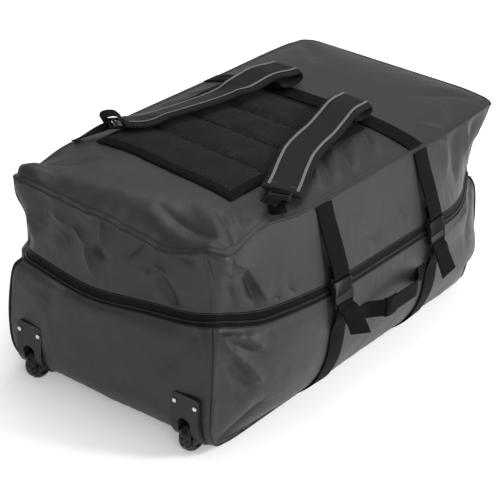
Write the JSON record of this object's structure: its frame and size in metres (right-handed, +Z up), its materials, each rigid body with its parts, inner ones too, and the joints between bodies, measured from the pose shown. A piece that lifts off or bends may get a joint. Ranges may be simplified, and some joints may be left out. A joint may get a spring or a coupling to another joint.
{
  "type": "wheeled paddleboard bag",
  "caption": "Large stuffed wheeled bag for a rolled inflatable board, with shoulder straps over a padded back, compression straps with buckles, a zip all round and corner wheels.",
  "frame": {"origin": "on the floor under the middle of the whole bag", "axes": "+X along the bag from the wheel end to the head end, +Z up, and the side with the grab handle faces -Y"},
  "size_m": [0.968, 0.7262, 0.4952],
  "materials": {
    "cloth": "coated charcoal polyester with a slight sheen",
    "piping": "the same coated cloth over a cord",
    "webbing": "woven webbing, matt",
    "mesh": "spacer mesh, matt",
    "zip": "woven tape and nylon coil",
    "plastic": "moulded, satin",
    "rubber": "moulded wheel, satin",
    "metal": "plated, satin"
  },
  "bodies": {
    "bag": {"upper_panel_right": "cloth", "lower_panel_right": "cloth", "upper_panel_head": "cloth", "lower_panel_head": "cloth", "upper_panel_left": "cloth", "lower_panel_left": "cloth", "upper_panel_wheel": "cloth", "lower_panel_wheel": "cloth", "top_panel": "cloth", "base_panel": "cloth", "zip_lower_tape": "zip", "zip_upper_tape": "zip", "zip_coil": "zip", "zip_slider": "metal", "top_piping": "piping", "side_piping_right": "piping", "side_piping_left": "piping", "back_pad": "mesh", "back_pad_binding": "mesh", "cross_webbing": "webbing", "strap_upper_right_wheel": "webbing", "strap_lower_right_wheel": "webbing", "buckle_socket_right_wheel": "plastic", "buckle_plug_right_wheel": "plastic", "strap_upper_right_head": "webbing", "strap_lower_right_head": "webbing", "buckle_socket_right_head": "plastic", "buckle_plug_right_head": "plastic", "shoulder_strap_right": "webbing", "shoulder_adjuster_right": "plastic", "shoulder_webbing_right": "webbing", "wheel_axle_right": "metal", "wheel_housing_right": "plastic", "rivet_right_inner": "metal", "rivet_right_outer": "metal", "strap_upper_left_wheel": "webbing", "strap_lower_left_wheel": "webbing", "buckle_socket_left_wheel": "plastic", "buckle_plug_left_wheel": "plastic", "strap_upper_left_head": "webbing", "strap_lower_left_head": "webbing", "buckle_socket_left_head": "plastic", "buckle_plug_left_head": "plastic", "shoulder_strap_left": "webbing", "shoulder_adjuster_left": "plastic", "shoulder_webbing_left": "webbing", "wheel_axle_left": "metal", "wheel_housing_left": "plastic", "rivet_left_inner": "metal", "rivet_left_outer": "metal", "grab_handle_webbing": "webbing", "grab_handle_sleeve": "webbing"},
    "wheel_left": {"wheel_left": "rubber"},
    "wheel_right": {"wheel_right": "rubber"}
  },
  "joints": [
    {"name": "wheel_left_spin", "type": "hinge", "parent": "bag", "child": "wheel_left", "pos_m": [-0.445, 0.17604, 0.034], "axis": [0, 1, 0], "continuous": true},
    {"name": "wheel_right_spin", "type": "hinge", "parent": "bag", "child": "wheel_right", "pos_m": [-0.445, -0.19796, 0.034], "axis": [0, 1, 0], "continuous": true}
  ]
}
